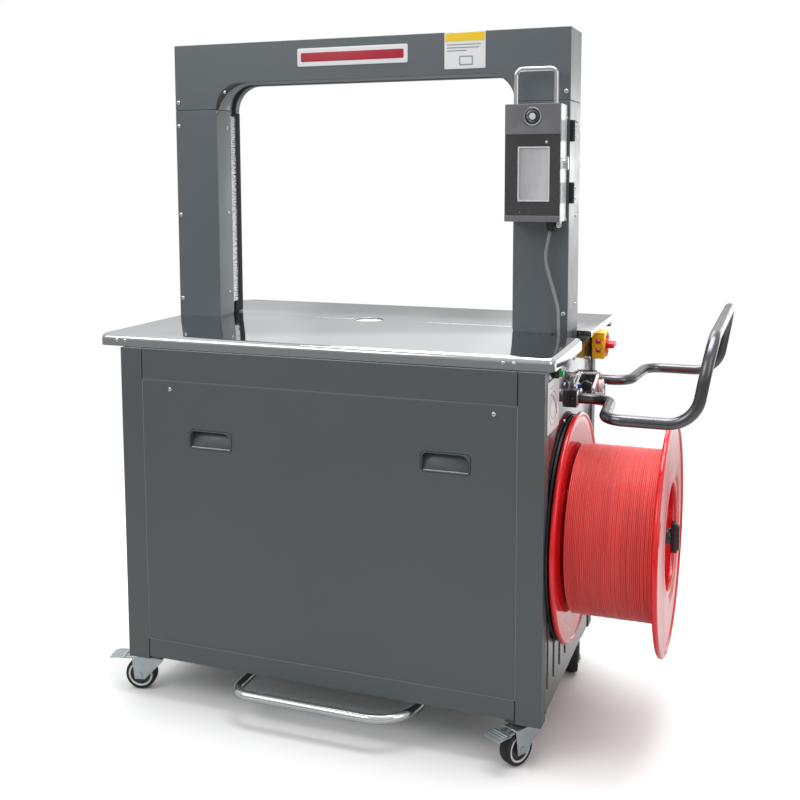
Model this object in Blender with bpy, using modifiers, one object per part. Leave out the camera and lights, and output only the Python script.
"""Semi-automatic arch strapping machine, modelled as an assembly of separate pieces.

Frame: metres, +Z up. X runs along the operator's side, which faces -Y. The pieces are drawn
about the middle of the cabinet, and the last step moves them all so that the origin lies on the
floor under the middle of the machine's footprint. Every object is one piece of the machine.
"""
import math

import bmesh
import bpy
from mathutils import Matrix, Vector

# ---- driving dimensions -------------------------------------------------------------------
GAP = 0.0003                      # running clearance between neighbouring solids
SHEET = 0.003                     # folded sheet thickness

CABINET_WIDTH = 1.000
CABINET_DEPTH = 0.580
POST_BOTTOM = 0.095
TABLE_TOP = 0.870
TABLE_EDGE = 0.028                # height of the front table's rolled rim
REAR_TABLE_EDGE = 0.016
TABLE_LEFT = -0.568
TABLE_RIGHT = 0.516
TABLE_FRONT = -0.278
TABLE_REAR = 0.455
TABLE_SEAM = 0.148                # where the two table halves meet, under the arch
TABLE_CORNER = 0.020              # plan radius of the front corners

ARCH_LEFT = -0.564
ARCH_RIGHT = 0.470
OPENING_LEFT = -0.444
OPENING_RIGHT = 0.340
OPENING_HEIGHT = 0.600
BEAM_HEIGHT = 0.100
ARCH_FRONT = 0.077
ARCH_DEPTH = 0.125
OPENING_CORNER = 0.065
TRACK_FRONT = 0.151               # strap groove in the arch, front and rear wall
TRACK_REAR = 0.181
TRACK_DEPTH = 0.025

REEL_Y = -0.028
REEL_Z = 0.448
REEL_RADIUS = 0.258
REEL_INNER = 0.513                # outer-most planes of the two flanges along X
REEL_OUTER = 0.724
REEL_CORE_RADIUS = 0.122
COIL_RADIUS = 0.189
BRAKE_DISC_RADIUS = 0.252

HANDLE_TUBE = 0.012
HANDLE_Z = 0.743
HANDLE_OUTER = 0.815              # centre line of the raised grip

FOOT_FRONT = -0.338               # centre line of the foot bar's front run
FOOT_RADIUS = 0.011

CASTER_WHEEL_RADIUS = 0.0375
CASTER_TRAIL = 0.034
CASTER_TOP = 0.0907

# ---- derived dimensions -------------------------------------------------------------------
HALF_WIDTH = CABINET_WIDTH / 2
HALF_DEPTH = CABINET_DEPTH / 2
FRONT_TABLE_BOTTOM = TABLE_TOP - TABLE_EDGE
REAR_TABLE_BOTTOM = TABLE_TOP - REAR_TABLE_EDGE
FRAME_TOP = FRONT_TABLE_BOTTOM - GAP
OPENING_TOP = TABLE_TOP + OPENING_HEIGHT
ARCH_TOP = OPENING_TOP + BEAM_HEIGHT
ARCH_REAR = ARCH_FRONT + ARCH_DEPTH
ARCH_SEAM = OPENING_TOP - OPENING_CORNER
STRAP_Y = (TRACK_FRONT + TRACK_REAR) / 2
FOOTPRINT_X = (TABLE_LEFT + HANDLE_OUTER + HANDLE_TUBE) / 2
FOOTPRINT_Y = (FOOT_FRONT - FOOT_RADIUS + TABLE_REAR) / 2

# ---- colours: name -> (rgb, roughness, metallic) --------------------------------------------
FINISHES = {
    "grey_paint": ((0.105, 0.113, 0.120), 0.45, 0.1),
    "dark_paint": ((0.055, 0.058, 0.062), 0.40, 0.1),
    "light_paint": ((0.62, 0.63, 0.64), 0.40, 0.0),
    "stainless": ((0.62, 0.64, 0.65), 0.22, 1.0),
    "chrome": ((0.72, 0.73, 0.74), 0.10, 1.0),
    "zinc": ((0.42, 0.45, 0.46), 0.35, 0.9),
    "black_plastic": ((0.015, 0.015, 0.016), 0.45, 0.0),
    "white_nylon": ((0.82, 0.82, 0.80), 0.50, 0.0),
    "red_plastic": ((0.60, 0.030, 0.035), 0.18, 0.0),
    "strap_red": ((0.50, 0.085, 0.080), 0.55, 0.0),
    "yellow_plastic": ((0.85, 0.42, 0.02), 0.35, 0.0),
    "switch_red": ((0.65, 0.02, 0.04), 0.35, 0.0),
    "green_plastic": ((0.02, 0.45, 0.12), 0.35, 0.0),
    "screen_glass": ((0.40, 0.41, 0.42), 0.12, 0.0),
    "rubber": ((0.020, 0.020, 0.020), 0.80, 0.0),
    "machine_steel": ((0.38, 0.38, 0.39), 0.35, 0.9),
    "aluminium": ((0.60, 0.60, 0.62), 0.35, 0.9),
}


# ---- scene and material helpers -------------------------------------------------------------
def clear_scene():
    for obj in list(bpy.data.objects):
        bpy.data.objects.remove(obj, do_unlink=True)


def make_collection(name):
    collection = bpy.data.collections.new(name)
    bpy.context.scene.collection.children.link(collection)
    return collection


def make_material(node_name, finish):
    """Each piece has its own material, so a finish can be changed piece by piece."""
    colour, roughness, metallic = FINISHES[finish]
    material = bpy.data.materials.new(f"{node_name}_{finish}")
    material.use_nodes = True
    shader = material.node_tree.nodes["Principled BSDF"]
    shader.inputs["Base Color"].default_value = (*colour, 1.0)
    shader.inputs["Roughness"].default_value = roughness
    shader.inputs["Metallic"].default_value = metallic
    material.diffuse_color = (*colour, 1.0)
    return material


clear_scene()
MACHINE = make_collection("strapping_machine")
CUTTERS = make_collection("cutters")


def add_object(name, mesh, finish):
    """Links a mesh as a piece of the machine, or as a hidden tool when it has no finish."""
    obj = bpy.data.objects.new(name, mesh)
    if finish is None:
        CUTTERS.objects.link(obj)
        obj.hide_render = True
        obj.display_type = "WIRE"
    else:
        MACHINE.objects.link(obj)
        mesh.materials.append(make_material(name, finish))
    return obj


# ---- shape helpers --------------------------------------------------------------------------
def arc(cx, cy, radius, start_deg, end_deg, steps):
    """Points along an arc, both ends included."""
    points = []
    for i in range(steps + 1):
        a = math.radians(start_deg + (end_deg - start_deg) * i / steps)
        points.append((cx + radius * math.cos(a), cy + radius * math.sin(a)))
    return points


def circle(cx, cy, radius, steps=24):
    return arc(cx, cy, radius, 0, 360 - 360 / steps, steps - 1)


def rounded_rectangle(x0, y0, x1, y1, radius, steps=4):
    return (arc(x1 - radius, y0 + radius, radius, -90, 0, steps)
            + arc(x1 - radius, y1 - radius, radius, 0, 90, steps)
            + arc(x0 + radius, y1 - radius, radius, 90, 180, steps)
            + arc(x0 + radius, y0 + radius, radius, 180, 270, steps))


def rectangle(x0, y0, x1, y1):
    return [(x0, y0), (x1, y0), (x1, y1), (x0, y1)]


def box(name, low, high, finish=None):
    """An axis-aligned block between two corners."""
    bm = bmesh.new()
    bmesh.ops.create_cube(bm, size=1.0)
    size = [b - a for a, b in zip(low, high)]
    middle = [(a + b) / 2 for a, b in zip(low, high)]
    bmesh.ops.scale(bm, vec=size, verts=bm.verts)
    bmesh.ops.translate(bm, vec=middle, verts=bm.verts)
    mesh = bpy.data.meshes.new(name)
    bm.to_mesh(mesh)
    bm.free()
    return add_object(name, mesh, finish)


PLANES = {
    "XY": Matrix.Identity(4),
    "XZ": Matrix.Rotation(math.pi / 2, 4, "X"),
    "YZ": Matrix.Rotation(math.pi / 2, 4, "Z") @ Matrix.Rotation(math.pi / 2, 4, "X"),
}
AXIS_TURN = {
    "X": Matrix.Rotation(math.pi / 2, 4, "Y"),
    "Y": Matrix.Rotation(-math.pi / 2, 4, "X"),
    "Z": Matrix.Identity(4),
}


def curve_to_mesh_object(name, curve, matrix, finish):
    """Turns a curve into a welded mesh object with its transform applied."""
    carrier = bpy.data.objects.new(f"{name}_curve", curve)
    bpy.context.scene.collection.objects.link(carrier)
    carrier.matrix_world = matrix
    bpy.context.view_layer.update()
    depsgraph = bpy.context.evaluated_depsgraph_get()
    mesh = bpy.data.meshes.new_from_object(carrier.evaluated_get(depsgraph))
    mesh.name = name
    mesh.transform(matrix)
    bm = bmesh.new()
    bm.from_mesh(mesh)
    bmesh.ops.remove_doubles(bm, verts=bm.verts, dist=1e-5)
    bmesh.ops.recalc_face_normals(bm, faces=bm.faces)
    bm.to_mesh(mesh)
    bm.free()
    mesh.materials.clear()
    bpy.data.objects.remove(carrier, do_unlink=True)
    bpy.data.curves.remove(curve)
    return add_object(name, mesh, finish)


def plate(name, outlines, plane, start, end, finish=None):
    """A flat outline, with any holes as further outlines, between two heights over its plane."""
    curve = bpy.data.curves.new(name, "CURVE")
    curve.dimensions = "2D"
    curve.fill_mode = "BOTH"
    curve.extrude = abs(end - start) / 2
    for outline in outlines:
        spline = curve.splines.new("POLY")
        spline.points.add(len(outline) - 1)
        for point, (a, b) in zip(spline.points, outline):
            point.co = (a, b, 0.0, 1.0)
        spline.use_cyclic_u = True
    turn = PLANES[plane]
    normal = turn.to_3x3() @ Vector((0, 0, 1))
    offset = Vector([abs(c) * (start + end) / 2 for c in normal])
    return curve_to_mesh_object(name, curve, Matrix.Translation(offset) @ turn, finish)


def cylinder(name, axis, centre, start, end, radius, finish=None, steps=24, end_radius=None):
    """A rod along a world axis; centre gives the two other coordinates in X, Y, Z order."""
    bm = bmesh.new()
    bmesh.ops.create_cone(bm, cap_ends=True, segments=steps, radius1=radius,
                          radius2=radius if end_radius is None else end_radius,
                          depth=end - start)
    middle = list(centre)
    middle.insert("XYZ".index(axis), (start + end) / 2)
    matrix = Matrix.Translation(middle) @ AXIS_TURN[axis]
    bmesh.ops.transform(bm, matrix=matrix, verts=bm.verts)
    mesh = bpy.data.meshes.new(name)
    bm.to_mesh(mesh)
    bm.free()
    return add_object(name, mesh, finish)


def ring(name, axis, centre, start, end, outer, inner, finish=None, steps=32):
    """A tube wall along a world axis: one outline with a hole, extruded."""
    plane = {"X": "YZ", "Y": "XZ", "Z": "XY"}[axis]
    outlines = [circle(*centre, outer, steps), circle(*centre, inner, steps)]
    return plate(name, outlines, plane, start, end, finish)


def turned(name, axis, centre, profile, finish=None, steps=32):
    """A Screw modifier on a closed (radius, height) profile, listed down its outer side."""
    area = sum(r0 * h1 - r1 * h0
               for (r0, h0), (r1, h1) in zip(profile, profile[1:] + profile[:1]))
    points = profile if area < 0 else profile[::-1]
    mesh = bpy.data.meshes.new(name)
    edges = [(i, (i + 1) % len(points)) for i in range(len(points))]
    mesh.from_pydata([(r, 0.0, h) for r, h in points], edges, [])
    obj = add_object(name, mesh, finish)
    obj.matrix_world = Matrix.Translation(centre) @ AXIS_TURN[axis]
    screw = obj.modifiers.new("turn", "SCREW")
    screw.steps = steps
    screw.render_steps = steps
    screw.use_merge_vertices = True
    screw.merge_threshold = 0.00001
    return obj


def bend(corners, radii, steps=5):
    """Rounds the inner corners of a polyline of 3-D points with the given bend radii."""
    points = [Vector(corners[0])]
    for i, radius in enumerate(radii, start=1):
        here = Vector(corners[i])
        back = (Vector(corners[i - 1]) - here).normalized()
        ahead = (Vector(corners[i + 1]) - here).normalized()
        half = back.angle(ahead) / 2
        reach = radius / math.tan(half)
        first, last = here + back * reach, here + ahead * reach
        centre = here + (back + ahead).normalized() * (radius / math.sin(half))
        swing = (first - centre).rotation_difference(last - centre)
        for k in range(steps + 1):
            part = Matrix.Identity(3).to_quaternion().slerp(swing, k / steps)
            points.append(centre + part @ (first - centre))
    points.append(Vector(corners[-1]))
    return points


def tube(name, points, radius, finish=None, resolution=4):
    """A bent rod: a POLY curve with a round bevel and filled caps, welded to a mesh."""
    curve = bpy.data.curves.new(name, "CURVE")
    curve.dimensions = "3D"
    curve.bevel_depth = radius
    curve.bevel_resolution = resolution
    curve.use_fill_caps = True
    spline = curve.splines.new("POLY")
    spline.points.add(len(points) - 1)
    for point, place in zip(spline.points, points):
        point.co = (*place, 1.0)
    return curve_to_mesh_object(name, curve, Matrix.Identity(4), finish)


def combine(target, operation, *tools):
    """Adds one EXACT Boolean per tool; the tools stay hidden in the cutters collection."""
    for tool in tools:
        boolean = target.modifiers.new(tool.name, "BOOLEAN")
        boolean.operation = operation
        boolean.object = tool
        boolean.solver = "EXACT"
    return target


def join(target, *tools):
    return combine(target, "UNION", *tools)


def cut(target, *tools):
    return combine(target, "DIFFERENCE", *tools)


def pivot(obj, point):
    """Moves an object's origin to its joint's axis and leaves its shape in place."""
    obj.data.transform(Matrix.Translation(-Vector(point)))
    obj.location = point
    return obj


# ---- cabinet --------------------------------------------------------------------------------
POST_WIDTH = 0.055
POST_DEPTH = 0.040
PANEL_GROOVE = 0.0025
RAIL_SKIN = 0.030
DOOR_BOTTOM = 0.148
DOOR_TOP = 0.769
RAIL_BOTTOM = 0.103
FLOOR_SHEET_Z = 0.110
TOP_RAIL_BOTTOM = DOOR_TOP + PANEL_GROOVE
HEAD_BEAM_Z = 0.597
HEAD_FRONT = 0.128
HEAD_REAR = 0.206
CASTER_X = 0.460
CASTER_FRONT_Y = -0.242
CASTER_REAR_Y = 0.225


def cabinet_frame():
    """Welded frame: four posts, rails all round, cross beams, floor sheet and caster pads."""
    inner_x = HALF_WIDTH - POST_WIDTH
    skin_x = inner_x - PANEL_GROOVE
    frame = box("cabinet_frame", (-HALF_WIDTH, -HALF_DEPTH, POST_BOTTOM),
                (-inner_x, -HALF_DEPTH + POST_DEPTH, FRAME_TOP), "grey_paint")
    pieces = []
    for label, sx, sy in (("fr", 1, -1), ("rl", -1, 1), ("rr", 1, 1)):
        xs = sorted((sx * HALF_WIDTH, sx * inner_x))
        ys = sorted((sy * HALF_DEPTH, sy * (HALF_DEPTH - POST_DEPTH)))
        pieces.append(box(f"post_{label}", (xs[0], ys[0], POST_BOTTOM), (xs[1], ys[1], FRAME_TOP)))
    for level, low, high in (("bottom", RAIL_BOTTOM, DOOR_BOTTOM - PANEL_GROOVE),
                             ("top", TOP_RAIL_BOTTOM, FRAME_TOP)):
        for side, sy in (("front", -1), ("rear", 1)):
            ys = sorted((sy * (HALF_DEPTH - 0.005), sy * (HALF_DEPTH - RAIL_SKIN)))
            pieces.append(box(f"rail_{level}_{side}", (-inner_x - 0.02, ys[0], low + 0.001),
                              (inner_x + 0.02, ys[1], high - 0.001)))
            ys = sorted((sy * HALF_DEPTH, sy * (HALF_DEPTH - 0.010)))
            pieces.append(box(f"skin_{level}_{side}", (-skin_x, ys[0], low),
                              (skin_x, ys[1], high)))
        for side, sx in (("left", -1), ("right", 1)):
            xs = sorted((sx * (HALF_WIDTH - 0.006), sx * (HALF_WIDTH - 0.034)))
            pieces.append(box(f"rail_{level}_{side}", (xs[0], -HALF_DEPTH + 0.02, low + 0.002),
                              (xs[1], HALF_DEPTH - 0.02, high - 0.002)))
    pieces.append(box("floor_sheet", (-inner_x - 0.01, -HALF_DEPTH + 0.02, FLOOR_SHEET_Z),
                      (inner_x + 0.01, HALF_DEPTH - 0.02, FLOOR_SHEET_Z + SHEET)))
    for label, y in (("front", HEAD_FRONT), ("rear", HEAD_REAR - 0.010)):
        pieces.append(box(f"cross_beam_{label}", (-HALF_WIDTH + 0.02, y - 0.010, HEAD_BEAM_Z - 0.020),
                          (HALF_WIDTH - 0.02, y + 0.010, HEAD_BEAM_Z)))
    for label, sx in (("left", -1), ("right", 1)):
        xs = sorted((sx * (HALF_WIDTH - 0.034), sx * (HALF_WIDTH - 0.010)))
        pieces.append(box(f"beam_strut_{label}", (xs[0], HEAD_FRONT - 0.020, RAIL_BOTTOM + 0.02),
                          (xs[1], HEAD_REAR + 0.010, HEAD_BEAM_Z - 0.001)))
    for sx in (-1, 1):
        xs = sorted((sx * (CASTER_X - 0.040), sx * (CASTER_X + 0.034)))
        for y in (CASTER_FRONT_Y, CASTER_REAR_Y):
            pieces.append(box(f"caster_pad_{sx}_{y}", (xs[0], y - 0.036, CASTER_TOP + GAP),
                              (xs[1], y + 0.036, RAIL_BOTTOM + 0.008)))
    return join(frame, *pieces)


def cabinet_panels():
    """Lift-off front panel with two recessed pulls, rear panel and the two side panels."""
    edge = HALF_WIDTH - POST_WIDTH - PANEL_GROOVE
    front = box("front_panel", (-edge, -HALF_DEPTH, DOOR_BOTTOM), (edge, -HALF_DEPTH + 0.012, DOOR_TOP),
                "grey_paint")
    for label, x in (("left", -0.267), ("right", 0.291)):
        outline = rounded_rectangle(x - 0.055, 0.6175, x + 0.055, 0.6615, 0.010)
        cut(front, plate(f"pull_cut_{label}", [outline], "XZ",
                         -HALF_DEPTH - 0.01, -HALF_DEPTH + 0.02))
        body = rounded_rectangle(x - 0.0545, 0.6180, x + 0.0545, 0.6610, 0.0096)
        mouth = rounded_rectangle(x - 0.0505, 0.6220, x + 0.0505, 0.6570, 0.0070)
        cup = plate(f"panel_pull_{label}", [body], "XZ", -HALF_DEPTH - 0.0015, -HALF_DEPTH + 0.026,
                    "grey_paint")
        cut(cup, plate(f"pull_mouth_{label}", [mouth], "XZ", -HALF_DEPTH - 0.01, -HALF_DEPTH + 0.0235))
    box("rear_panel", (-edge, HALF_DEPTH - 0.0040, DOOR_BOTTOM), (edge, HALF_DEPTH, DOOR_TOP),
        "grey_paint")
    side_y = HALF_DEPTH - POST_DEPTH - 0.0005
    for label, sx in (("left", -1), ("right", 1)):
        xs = sorted((sx * (HALF_WIDTH - 0.0055), sx * (HALF_WIDTH - 0.0025)))
        box(f"{label}_panel", (xs[0], -side_y, RAIL_BOTTOM), (xs[1], side_y, FRAME_TOP - GAP),
            "grey_paint")


# ---- table ----------------------------------------------------------------------------------
HATCH_X = -0.053
HATCH_RADIUS = 0.036
NOTCH_LEFT = OPENING_LEFT + 0.0005
NOTCH_RIGHT = OPENING_RIGHT - 0.0035      # leaves room for the control box when the table lifts
TABLE_STEP = 0.014                # rear end of the front table right of the arch
SLOT_LEFT = 0.436                 # opening for the control cable beside the arch
SLOT_RIGHT = 0.468
SLOT_FRONT = 0.036
REAR_STEP = 0.136                 # front end of the rear table right of the arch


def front_table():
    """Stainless tray in front of the arch, with the hatch half and the cable notch."""
    seam = TABLE_SEAM - 0.0005
    behind = ARCH_FRONT - 0.0005
    corner_y = TABLE_FRONT + TABLE_CORNER
    outline = (arc(TABLE_LEFT + TABLE_CORNER, corner_y, TABLE_CORNER, 180, 270, 6)
               + arc(TABLE_RIGHT - TABLE_CORNER, corner_y, TABLE_CORNER, -90, 0, 6)
               + [(TABLE_RIGHT, TABLE_STEP), (SLOT_RIGHT, TABLE_STEP), (SLOT_RIGHT, SLOT_FRONT),
                  (SLOT_LEFT, SLOT_FRONT), (SLOT_LEFT, behind), (NOTCH_RIGHT, behind), (NOTCH_RIGHT, seam)]
               + arc(HATCH_X, seam, HATCH_RADIUS, 0, -180, 10)
               + [(NOTCH_LEFT, seam), (NOTCH_LEFT, behind), (TABLE_LEFT, behind)])
    table = plate("front_table", [outline], "XY", FRONT_TABLE_BOTTOM, TABLE_TOP, "stainless")
    inner = TABLE_CORNER - SHEET
    pocket = (arc(TABLE_LEFT + TABLE_CORNER, corner_y, inner, 180, 270, 6)
              + arc(TABLE_RIGHT - TABLE_CORNER, corner_y, inner, -90, 0, 6)
              + [(TABLE_RIGHT - SHEET, TABLE_STEP - SHEET), (NOTCH_RIGHT - SHEET, TABLE_STEP - SHEET),
                 (NOTCH_RIGHT - SHEET, 0.200), (NOTCH_LEFT + SHEET, 0.200),
                 (NOTCH_LEFT + SHEET, behind - SHEET), (TABLE_LEFT + SHEET, behind - SHEET)])
    cut(table, plate("front_pocket", [pocket], "XY", FRONT_TABLE_BOTTOM - 0.010, TABLE_TOP - SHEET))
    return pivot(table, (0, TABLE_FRONT, FRONT_TABLE_BOTTOM))


def rear_table():
    """Thinner tray behind the arch, with the other half of the hatch."""
    seam = TABLE_SEAM + 0.0005
    behind = ARCH_REAR + 0.0005
    right_behind = behind + 0.0010
    outline = ([(TABLE_LEFT, behind), (NOTCH_LEFT, behind), (NOTCH_LEFT, seam)]
               + arc(HATCH_X, seam, HATCH_RADIUS, 180, 0, 10)
               + [(NOTCH_RIGHT, seam), (NOTCH_RIGHT, right_behind), (ARCH_RIGHT + 0.0005, right_behind),
                  (ARCH_RIGHT + 0.0005, REAR_STEP), (TABLE_RIGHT, REAR_STEP), (TABLE_RIGHT, TABLE_REAR),
                  (TABLE_LEFT + 0.022, TABLE_REAR), (TABLE_LEFT, TABLE_REAR - 0.030)])
    table = plate("rear_table", [outline], "XY", REAR_TABLE_BOTTOM, TABLE_TOP, "stainless")
    pocket = [(TABLE_LEFT + SHEET, behind + SHEET), (NOTCH_LEFT + SHEET, behind + SHEET),
              (NOTCH_LEFT + SHEET, 0.100), (NOTCH_RIGHT - SHEET, 0.100),
              (NOTCH_RIGHT - SHEET, right_behind + SHEET), (TABLE_RIGHT - SHEET, right_behind + SHEET),
              (TABLE_RIGHT - SHEET, TABLE_REAR - SHEET), (TABLE_LEFT + 0.026, TABLE_REAR - SHEET),
              (TABLE_LEFT + SHEET, TABLE_REAR - 0.032)]
    cut(table, plate("rear_pocket", [pocket], "XY", REAR_TABLE_BOTTOM - 0.010, TABLE_TOP - SHEET))
    return pivot(table, (0, TABLE_REAR, REAR_TABLE_BOTTOM))


# ---- arch -----------------------------------------------------------------------------------
def opening_line(offset, bottom):
    """The arch opening's outline, moved outward by offset, from lower left round to lower right."""
    radius = OPENING_CORNER + offset
    left_x = OPENING_LEFT + OPENING_CORNER
    right_x = OPENING_RIGHT - OPENING_CORNER
    points = [(OPENING_LEFT - offset, bottom)]
    points += arc(left_x, ARCH_SEAM, radius, 180, 90, 8)
    points += arc(right_x, ARCH_SEAM, radius, 90, 0, 8)
    points.append((OPENING_RIGHT + offset, bottom))
    return points


def arch_band(inner, outer, bottom):
    return opening_line(outer, bottom) + opening_line(inner, bottom)[::-1]


def arch():
    """Column covers, top beam cover, strap track and the brush strip that closes it."""
    low = FRONT_TABLE_BOTTOM + GAP
    groove = plate("track_groove", [arch_band(-0.02, TRACK_DEPTH, low - 0.02)], "XZ", TRACK_FRONT, TRACK_REAR)
    for name, x0, x1 in (("arch_left_column", ARCH_LEFT, OPENING_LEFT),
                         ("arch_right_column", OPENING_RIGHT, ARCH_RIGHT)):
        column = box(name, (x0, ARCH_FRONT, low), (x1, ARCH_REAR, ARCH_SEAM - GAP), "grey_paint")
        cut(column, groove)
    outline = ([(ARCH_LEFT, ARCH_SEAM), (ARCH_LEFT, ARCH_TOP), (ARCH_RIGHT, ARCH_TOP),
                (ARCH_RIGHT, ARCH_SEAM)]
               + opening_line(0, ARCH_SEAM)[-2:0:-1])
    beam = plate("arch_top_beam", [outline], "XZ", ARCH_FRONT, ARCH_REAR, "grey_paint")
    cut(beam, groove)
    track = plate("strap_track", [arch_band(0.0105, TRACK_DEPTH - 0.0005, low + 0.03)], "XZ",
                  TRACK_FRONT + 0.0005, TRACK_REAR - 0.0005, "black_plastic")
    cut(track, plate("strap_slot", [arch_band(0.005, 0.018, low)], "XZ", STRAP_Y - 0.008, STRAP_Y + 0.008))
    plate("brush_strip", [arch_band(0.0002, 0.010, low + 0.03)], "XZ",
          TRACK_FRONT + 0.0010, TRACK_REAR - 0.0040, "white_nylon")


# ---- control box ----------------------------------------------------------------------------
BOX_LEFT = 0.337
BOX_RIGHT = 0.464
BOX_FRONT = 0.003
BOX_BACK = 0.073
BOX_BOTTOM = 1.131
BOX_TOP = 1.394
BOX_HINGE = (0.478, 0.0745)
BUTTON_X = 0.4005
BUTTON_Z = 1.366
SCREEN = (0.3685, 1.178, 0.4385, 1.2980)
BOX_HANDLE_LEFT = 0.3520          # centre lines of the handle's legs and bar
BOX_HANDLE_RIGHT = 0.4440
BOX_HANDLE_TOP = 1.474


def control_box():
    """Swinging control station on the right column."""
    face_back = BOX_FRONT + 0.010
    shell = box("control_box_shell", (BOX_LEFT, face_back + GAP, BOX_BOTTOM), (BOX_RIGHT, BOX_BACK, BOX_TOP),
                "light_paint")
    cut(shell, box("shell_hollow", (BOX_LEFT + SHEET, face_back - 0.01, BOX_BOTTOM + SHEET),
                   (BOX_RIGHT - SHEET, BOX_BACK - SHEET, BOX_TOP - SHEET)))
    pivot(shell, (*BOX_HINGE, 0))
    panel = plate("control_panel",
                  [rectangle(BOX_LEFT, BOX_BOTTOM, BOX_RIGHT, BOX_TOP),
                   rectangle(*SCREEN), circle(BUTTON_X, BUTTON_Z, 0.0170)],
                  "XZ", BOX_FRONT, face_back, "grey_paint")
    pivot(panel, (*BOX_HINGE, 0))
    x0, z0, x1, z1 = SCREEN
    screen = box("display_screen", (x0 + GAP, BOX_FRONT + 0.002, z0 + GAP), (x1 - GAP, face_back, z1 - GAP),
                 "screen_glass")
    pivot(screen, (*BOX_HINGE, 0))
    button = cylinder("start_button", "Y", (BUTTON_X, BUTTON_Z), BOX_FRONT - 0.004, BOX_FRONT + 0.018,
                      0.0155, "chrome")
    pivot(button, (BUTTON_X, BOX_FRONT, BUTTON_Z))
    legs_y = BOX_FRONT + 0.042
    path = bend([(BOX_HANDLE_LEFT, legs_y, BOX_TOP + GAP), (BOX_HANDLE_LEFT, legs_y, BOX_HANDLE_TOP),
                 (BOX_HANDLE_RIGHT, legs_y, BOX_HANDLE_TOP),
                 (BOX_HANDLE_RIGHT, legs_y, BOX_TOP + GAP)], [0.014, 0.014], 4)
    handle = tube("box_handle", path, 0.006, "chrome")
    pivot(handle, (*BOX_HINGE, 0))
    for label, low in (("upper", 1.312), ("lower", 1.171)):
        knuckle = cylinder(f"box_hinge_{label}", "Z", BOX_HINGE, low, low + 0.048, 0.0030,
                           "black_plastic", 12)
        leaf = box(f"hinge_leaf_{label}", (ARCH_RIGHT + GAP, BOX_HINGE[1], low), (0.4795, 0.110, low + 0.048))
        cut(leaf, box(f"leaf_relief_{label}", (0.4735, 0.0805, low - 0.01), (0.49, 0.12, low + 0.06)))
        join(knuckle, leaf)


def control_cable():
    """Flexible cable from the control box down the column to the table."""
    path = bend([(0.436, 0.048, BOX_BOTTOM - 0.006), (0.420, 0.052, 1.045), (0.452, 0.058, 0.930),
                 (0.454, 0.060, 0.8425)], [0.10, 0.12], 4)
    return tube("control_cable", path, 0.0035, "light_paint", 2)


# ---- side fittings --------------------------------------------------------------------------
SIDE = HALF_WIDTH - 0.0025          # outer face of the right panel
SWITCH_Y = 0.260
SWITCH_Z = 0.8205
SWITCH_FACE = 0.530               # outer face of the switch housing
SWITCH_HALF_Y = 0.029
SWITCH_HALF_Z = 0.0325
DIAL_RADIUS = 0.0275
GREEN_Y = -0.200
GREEN_Z = 0.829
ROLLER_X = 0.552
ROLLER_Y = 0.040
ROLLER_Z = 0.759
KNOB_X = 0.529
KNOB_Z = 0.763


def main_switch():
    seat = SWITCH_FACE - 0.005
    centre = (SWITCH_Y, SWITCH_Z)
    housing = box("switch_housing", (HALF_WIDTH + GAP, SWITCH_Y - SWITCH_HALF_Y, SWITCH_Z - SWITCH_HALF_Z),
                  (SWITCH_FACE, SWITCH_Y + SWITCH_HALF_Y, SWITCH_Z + SWITCH_HALF_Z), "yellow_plastic")
    cut(housing, cylinder("knob_seat", "X", centre, seat, SWITCH_FACE + 0.005, DIAL_RADIUS + 0.0005))
    seat += 0.0005
    knob = cylinder("switch_knob", "X", centre, seat, seat + 0.0115, DIAL_RADIUS, "switch_red")
    join(knob, box("knob_bar", (seat + 0.0095, SWITCH_Y - 0.024, SWITCH_Z - 0.007),
                   (seat + 0.0275, SWITCH_Y + 0.024, SWITCH_Z + 0.007)))
    pivot(knob, (seat, *centre))


def green_button():
    ring("button_bezel", "X", (GREEN_Y, GREEN_Z), SIDE + GAP, 0.5110, 0.0115, 0.0088, "black_plastic", 24)
    button = cylinder("green_button", "X", (GREEN_Y, GREEN_Z), 0.5020, 0.5200, 0.0085, "green_plastic")
    pivot(button, (0.5020, GREEN_Y, GREEN_Z))


def strap_guide():
    """Chrome bracket over the reel with a strap roller and a black thumb knob."""
    arm_top = 0.7395
    bracket = box("guide_bracket", (SIDE + GAP, -0.008, arm_top - 0.003), (0.5035, 0.062, 0.7865), "chrome")
    join(bracket,
         box("guide_arm", (0.5030, 0.018, arm_top - 0.003), (0.5680, 0.060, arm_top)),
         box("guide_ear", (0.5650, 0.034, arm_top - 0.001), (0.5680, 0.046, ROLLER_Z + 0.006)),
         box("guide_tab", (0.5170, 0.020, arm_top - 0.001), (0.5400, 0.023, KNOB_Z + 0.006)),
         cylinder("guide_axle", "X", (ROLLER_Y, ROLLER_Z), 0.5400, 0.5660, 0.0040, None, 16))
    roller = ring("guide_roller", "X", (ROLLER_Y, ROLLER_Z), ROLLER_X - 0.010, ROLLER_X + 0.010, 0.0168,
                  0.0044, "white_nylon", 24)
    pivot(roller, (ROLLER_X, ROLLER_Y, ROLLER_Z))
    knob = cylinder("guide_knob", "Y", (KNOB_X, KNOB_Z), 0.0020, 0.0190, 0.0125, "black_plastic", 20)
    pivot(knob, (KNOB_X, 0.010, KNOB_Z))


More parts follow.
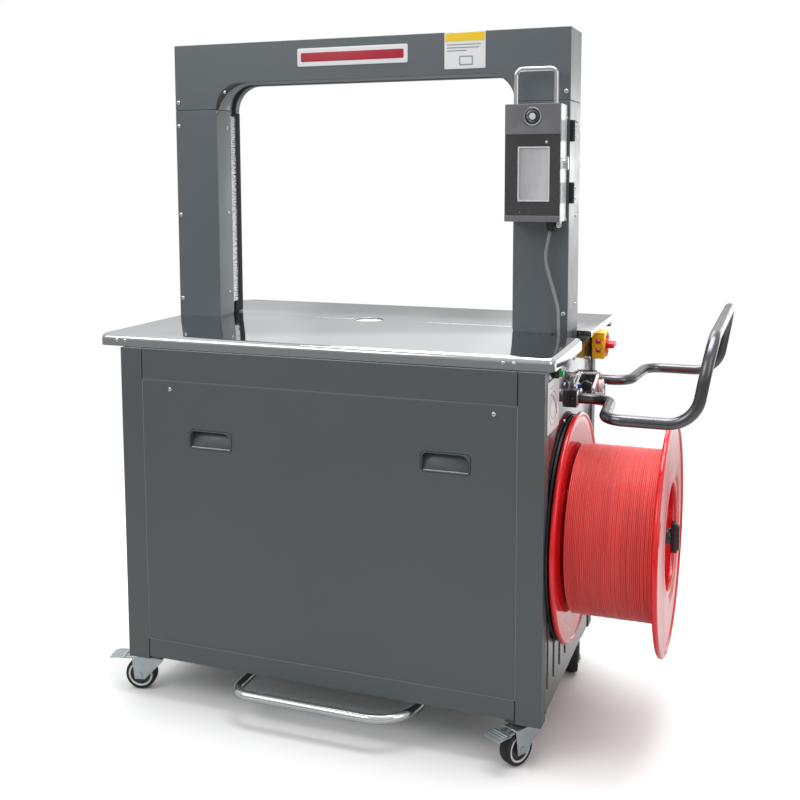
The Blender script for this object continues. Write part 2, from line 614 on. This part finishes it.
def push_handle():
    """Bent tube handle round the reel, held by two clamp blocks on the right side."""
    inner_x = SIDE + 0.004
    front, rear = -0.032, 0.203       # where the arms leave the side panel
    grip_front, grip_rear = -0.224, 0.410
    top = HANDLE_Z + 0.171
    foot_x = HANDLE_OUTER - 0.030     # the grip leans outward from here
    path = bend([(inner_x, front, HANDLE_Z), (0.592, front, HANDLE_Z), (0.606, grip_front, HANDLE_Z),
                 (foot_x, grip_front, HANDLE_Z), (HANDLE_OUTER, grip_front, top),
                 (HANDLE_OUTER, grip_rear, top), (foot_x, grip_rear, HANDLE_Z),
                 (0.612, grip_rear, HANDLE_Z), (0.595, rear, HANDLE_Z), (inner_x, rear, HANDLE_Z)],
                [0.045, 0.045, 0.066, 0.088, 0.088, 0.066, 0.045, 0.045])
    tube("push_handle", path, HANDLE_TUBE, "chrome")
    for label, y in (("front", front), ("rear", rear)):
        plate(f"handle_clamp_{label}",
              [rounded_rectangle(y - 0.018, HANDLE_Z - 0.0195, y + 0.018, HANDLE_Z + 0.0195, 0.004),
               circle(y, HANDLE_Z, HANDLE_TUBE + 0.0008, 24)],
              "YZ", SIDE + GAP, 0.5180, "dark_paint")


# ---- reel -----------------------------------------------------------------------------------
FLANGE_PLATE = 0.006
RIM_HALF = 0.006
SHAFT_RADIUS = 0.0100
REEL_BORE = 0.0108


def flange(name, x0, hole):
    """Solid red disc with a rolled rim and a round middle opening."""
    middle = x0 + FLANGE_PLATE / 2
    half = FLANGE_PLATE / 2
    rim = REEL_RADIUS - 0.012
    profile = [(hole, half), (rim, half), (rim, RIM_HALF), (REEL_RADIUS - 0.002, RIM_HALF),
               (REEL_RADIUS, RIM_HALF - 0.002), (REEL_RADIUS, -RIM_HALF + 0.002),
               (REEL_RADIUS - 0.002, -RIM_HALF), (rim, -RIM_HALF), (rim, -half), (hole, -half)]
    return turned(name, "X", (middle, REEL_Y, REEL_Z), profile, "red_plastic", 48)


def reel():
    """Strap reel on a fixed shaft: two flanges, core, strap coil, brake disc and clamp knob."""
    centre = (REEL_Y, REEL_Z)
    flange("reel_inner_flange", REEL_INNER, REEL_BORE)
    flange("reel_outer_flange", REEL_OUTER - FLANGE_PLATE, REEL_CORE_RADIUS - 0.004)
    start, end = REEL_INNER + FLANGE_PLATE + GAP, REEL_OUTER - FLANGE_PLATE - GAP
    core = ring("reel_core", "X", centre, start, end, REEL_CORE_RADIUS, REEL_CORE_RADIUS - 0.004,
                "red_plastic", 40)
    join(core,
         ring("core_web", "X", centre, 0.6600, 0.6640, REEL_CORE_RADIUS - 0.002, REEL_BORE, None, 40),
         ring("core_boss", "X", centre, start, 0.7000, 0.0220, REEL_BORE, None, 40))
    pivot(core, (REEL_INNER, *centre))
    turned("strap_coil", "X", ((start + end) / 2, *centre),
           [(REEL_CORE_RADIUS + 0.0006, 0.0925), (COIL_RADIUS - 0.002, 0.0925), (COIL_RADIUS, 0.0900),
            (COIL_RADIUS, -0.0900), (COIL_RADIUS - 0.002, -0.0925), (REEL_CORE_RADIUS + 0.0006, -0.0925)],
           "strap_red", 48)
    cylinder("reel_shaft", "X", centre, SIDE + GAP, 0.7240, SHAFT_RADIUS, "machine_steel")
    ring("brake_disc", "X", centre, 0.5012, 0.5062, BRAKE_DISC_RADIUS, SHAFT_RADIUS + 0.0005,
         "black_plastic", 48)
    knob = cylinder("reel_knob", "X", centre, 0.7010, 0.7300, 0.0180, "dark_paint", 20)
    cut(knob, cylinder("knob_bore", "X", centre, 0.6900, 0.7250, REEL_BORE, None, 24))
    join(knob, plate("knob_wing", [rounded_rectangle(REEL_Y - 0.013, REEL_Z - 0.034, REEL_Y + 0.013,
                                                     REEL_Z + 0.034, 0.006)], "YZ", 0.7260, 0.7440))
    pivot(knob, (0.7010, *centre))


# ---- foot bar -------------------------------------------------------------------------------
FOOT_PIVOT_Y = 0.062
FOOT_PIVOT_Z = 0.085
FOOT_FRONT_Z = 0.0752
FOOT_LEFT = -0.1977
FOOT_RIGHT = 0.2196
FOOT_BENDS = (0.040, 0.094)
FOOT_LUG = 0.004                  # thickness of the two hanging lugs
FOOT_SHAFT_REACH = 0.018          # length of the pivot shaft beyond each leg


def foot_bar():
    joint_y = FOOT_PIVOT_Y - 0.0100
    path = bend([(FOOT_LEFT, joint_y, FOOT_PIVOT_Z), (FOOT_LEFT, FOOT_FRONT, FOOT_FRONT_Z),
                 (FOOT_RIGHT, FOOT_FRONT, FOOT_FRONT_Z), (FOOT_RIGHT, joint_y, FOOT_PIVOT_Z)],
                FOOT_BENDS, 8)
    bar = tube("foot_bar", path, FOOT_RADIUS, "chrome")
    centre = (FOOT_PIVOT_Y, FOOT_PIVOT_Z)
    for label, x in (("left", FOOT_LEFT), ("right", FOOT_RIGHT)):
        join(bar, ring(f"foot_eye_{label}", "X", centre, x - 0.010, x + 0.010, 0.0135, 0.0066, None, 20))
    pivot(bar, (0, *centre))
    start, end = FOOT_LEFT - FOOT_SHAFT_REACH, FOOT_RIGHT + FOOT_SHAFT_REACH
    shaft = cylinder("foot_bar_pivot", "X", centre, start, end, 0.0060, "machine_steel", 20)
    for label, x in (("left", start), ("right", end - FOOT_LUG)):
        join(shaft, box(f"foot_lug_{label}", (x, FOOT_PIVOT_Y - 0.012, FOOT_PIVOT_Z - 0.010),
                        (x + FOOT_LUG, FOOT_PIVOT_Y + 0.012, FLOOR_SHEET_Z - GAP)))


# ---- casters --------------------------------------------------------------------------------
CASTERS = (
    ("front_left", -CASTER_X, CASTER_FRONT_Y, 193.0, True),
    ("front_right", CASTER_X, CASTER_FRONT_Y, 240.0, True),
    ("rear_left", -CASTER_X, CASTER_REAR_Y, 200.0, False),
    ("rear_right", CASTER_X, CASTER_REAR_Y, 285.0, False),
)
WHEEL_HALF = 0.0145
FORK_INNER = 0.0170
FORK_SHEET = 0.0025
FORK_TOP = 0.0830
FORK_FOOT = 0.0270                # lower end of the fork's cheeks
FORK_REAR = -0.0260
FORK_FRONT = 0.0520
PEDAL_START = 0.0720
PEDAL_END = 0.1070
PEDAL_HALF = 0.0240
PEDAL_Z = 0.0800


def caster(label, x, y, heading, braked):
    """Swivel fork with axle, wheel, and a foot brake on the front pair.

    The pieces are drawn with the wheel trailing towards +X and then turned to the heading.
    """
    turn = Matrix.Translation((x, y, 0)) @ Matrix.Rotation(math.radians(heading), 4, "Z")
    axle = (CASTER_TRAIL, CASTER_WHEEL_RADIUS)
    outer = FORK_INNER + FORK_SHEET
    under = FORK_TOP - 0.0030
    channel = [(-outer, FORK_FOOT), (-outer, FORK_TOP), (outer, FORK_TOP), (outer, FORK_FOOT),
               (FORK_INNER, FORK_FOOT), (FORK_INNER, under), (-FORK_INNER, under),
               (-FORK_INNER, FORK_FOOT)]
    fork = plate(f"caster_fork_{label}", [channel], "YZ", FORK_REAR - 0.0100, FORK_FRONT + 0.0100, "zinc")
    shoulder, tip = FORK_TOP - 0.0070, FORK_FOOT + 0.0005
    taper = [(FORK_REAR, FORK_TOP + 0.0070), (FORK_REAR, shoulder), (CASTER_TRAIL - 0.0125, tip),
             (CASTER_TRAIL + 0.0125, tip), (FORK_FRONT, shoulder), (FORK_FRONT, FORK_TOP + 0.0070)]
    profile = plate(f"fork_profile_{label}", [taper], "XZ", -0.0400, 0.0400)
    head = cylinder(f"fork_head_{label}", "Z", (0, 0), 0.0815, CASTER_TOP, 0.0170, None, 20)
    pin = cylinder(f"fork_axle_{label}", "Y", axle, -outer - 0.0035, outer + 0.0035, 0.0050, None, 12)
    combine(fork, "INTERSECT", profile)
    join(fork, head, pin)
    wheel = ring(f"caster_wheel_{label}", "Y", axle, -WHEEL_HALF, WHEEL_HALF, CASTER_WHEEL_RADIUS, 0.0056,
                 "rubber", 28)
    pieces = [fork, wheel, profile, head, pin]
    if braked:
        outline = rounded_rectangle(PEDAL_START, -PEDAL_HALF, PEDAL_END, PEDAL_HALF, 0.008)
        pedal = plate(f"brake_pedal_{label}", [outline], "XY", PEDAL_Z, PEDAL_Z + 0.0050, "zinc")
        arm = box(f"pedal_arm_{label}", (FORK_FRONT + 0.0010, -0.0060, PEDAL_Z - 0.0035),
                  (PEDAL_START + 0.0040, 0.0060, PEDAL_Z + 0.0010))
        join(pedal, arm)
        pieces += [pedal, arm]
    for piece in pieces:
        piece.data.transform(turn)
    pivot(fork, (x, y, CASTER_TOP))
    pivot(wheel, turn @ Vector((axle[0], 0, axle[1])))


# ---- strapping head and electrics -----------------------------------------------------------
CAM_X = -0.060
CAM_Z = 0.690
FEED_X = 0.030
FEED_Z = 0.770
FEED_RADIUS = 0.028
PINCH_RADIUS = 0.016


def strapping_head():
    """Head frame with feed and pinch rollers, cam shaft, sealing press, slide plate and motors."""
    low, high = HEAD_BEAM_Z + GAP, 0.848
    outline = [(-0.130, low), (0.080, low), (0.080, high), (-0.130, high)]
    plate_front, plate_rear = HEAD_FRONT, HEAD_REAR
    cam_hole = circle(CAM_X, CAM_Z, 0.0084, 20)
    feed_hole = circle(FEED_X, FEED_Z, 0.0064, 20)
    pinch_z = FEED_Z + FEED_RADIUS + PINCH_RADIUS + 0.0004
    pinch_hole = circle(FEED_X, pinch_z, 0.0054, 16)
    head = plate("head_frame", [outline, cam_hole, feed_hole, pinch_hole], "XZ", plate_front,
                 plate_front + 0.005, "machine_steel")
    join(head,
         plate("head_rear", [outline, cam_hole, feed_hole, pinch_hole], "XZ", plate_rear - 0.005, plate_rear),
         box("head_base", (-0.130, plate_front + 0.001, low), (0.080, plate_rear - 0.001, low + 0.006)),
         box("head_wall", (-0.130, plate_front + 0.001, low), (-0.125, plate_rear - 0.001, high - 0.030)))
    cam = cylinder("cam_shaft", "Y", (CAM_X, CAM_Z), plate_front - 0.004, plate_rear + 0.004, 0.0080,
                   "machine_steel", 20)
    join(cam,
         cylinder("cam_front", "Y", (CAM_X - 0.006, CAM_Z), 0.142, 0.152, 0.0220, None, 20),
         cylinder("cam_rear", "Y", (CAM_X + 0.006, CAM_Z), 0.160, 0.190, 0.0220, None, 20))
    pivot(cam, (CAM_X, STRAP_Y, CAM_Z))
    feed = cylinder("feed_wheel", "Y", (FEED_X, FEED_Z), 0.158, 0.174, FEED_RADIUS, "rubber", 32)
    join(feed, cylinder("feed_spindle", "Y", (FEED_X, FEED_Z), plate_front - 0.004,
                        plate_rear + 0.004, 0.0060, None, 16))
    pivot(feed, (FEED_X, STRAP_Y, FEED_Z))
    pinch = cylinder("pinch_roller", "Y", (FEED_X, pinch_z), 0.158, 0.174, PINCH_RADIUS, "aluminium", 24)
    join(pinch, cylinder("pinch_spindle", "Y", (FEED_X, pinch_z), plate_front - 0.004, plate_rear + 0.004,
                         0.0050, None, 16))
    pivot(pinch, (FEED_X, STRAP_Y, pinch_z))
    press = box("seal_press", (-0.085, 0.158, 0.740), (-0.035, 0.174, 0.842), "machine_steel")
    pivot(press, (CAM_X, STRAP_Y, 0.740))
    slide = box("slide_plate", (-0.082, 0.152, 0.8535), (-0.024, 0.178, 0.8585), "machine_steel")
    pivot(slide, (HATCH_X, STRAP_Y, 0.8535))
    cylinder("drive_motor", "Y", (CAM_X, CAM_Z), 0.020, plate_front - 0.0045, 0.0450, "aluminium", 32)
    cylinder("feed_motor", "Y", (FEED_X, FEED_Z), 0.030, plate_front - 0.0045, 0.0320, "aluminium", 32)


def electric_box():
    low = FLOOR_SHEET_Z + SHEET + GAP
    shell = box("electric_box", (0.180, -0.180, low), (0.430, 0.020, 0.380), "light_paint")
    cut(shell, box("electric_hollow", (0.183, -0.190, 0.120), (0.427, 0.017, 0.377)))


# ---- assembly -------------------------------------------------------------------------------
def centre_footprint():
    """Moves pieces and tools together, so that the origin is under the footprint's middle."""
    for obj in [*MACHINE.objects, *CUTTERS.objects]:
        obj.location -= Vector((FOOTPRINT_X, FOOTPRINT_Y, 0))


cabinet_frame()
cabinet_panels()
front_table()
rear_table()
arch()
control_box()
control_cable()
main_switch()
green_button()
strap_guide()
push_handle()
reel()
foot_bar()
for spec in CASTERS:
    caster(*spec)
strapping_head()
electric_box()
centre_footprint()
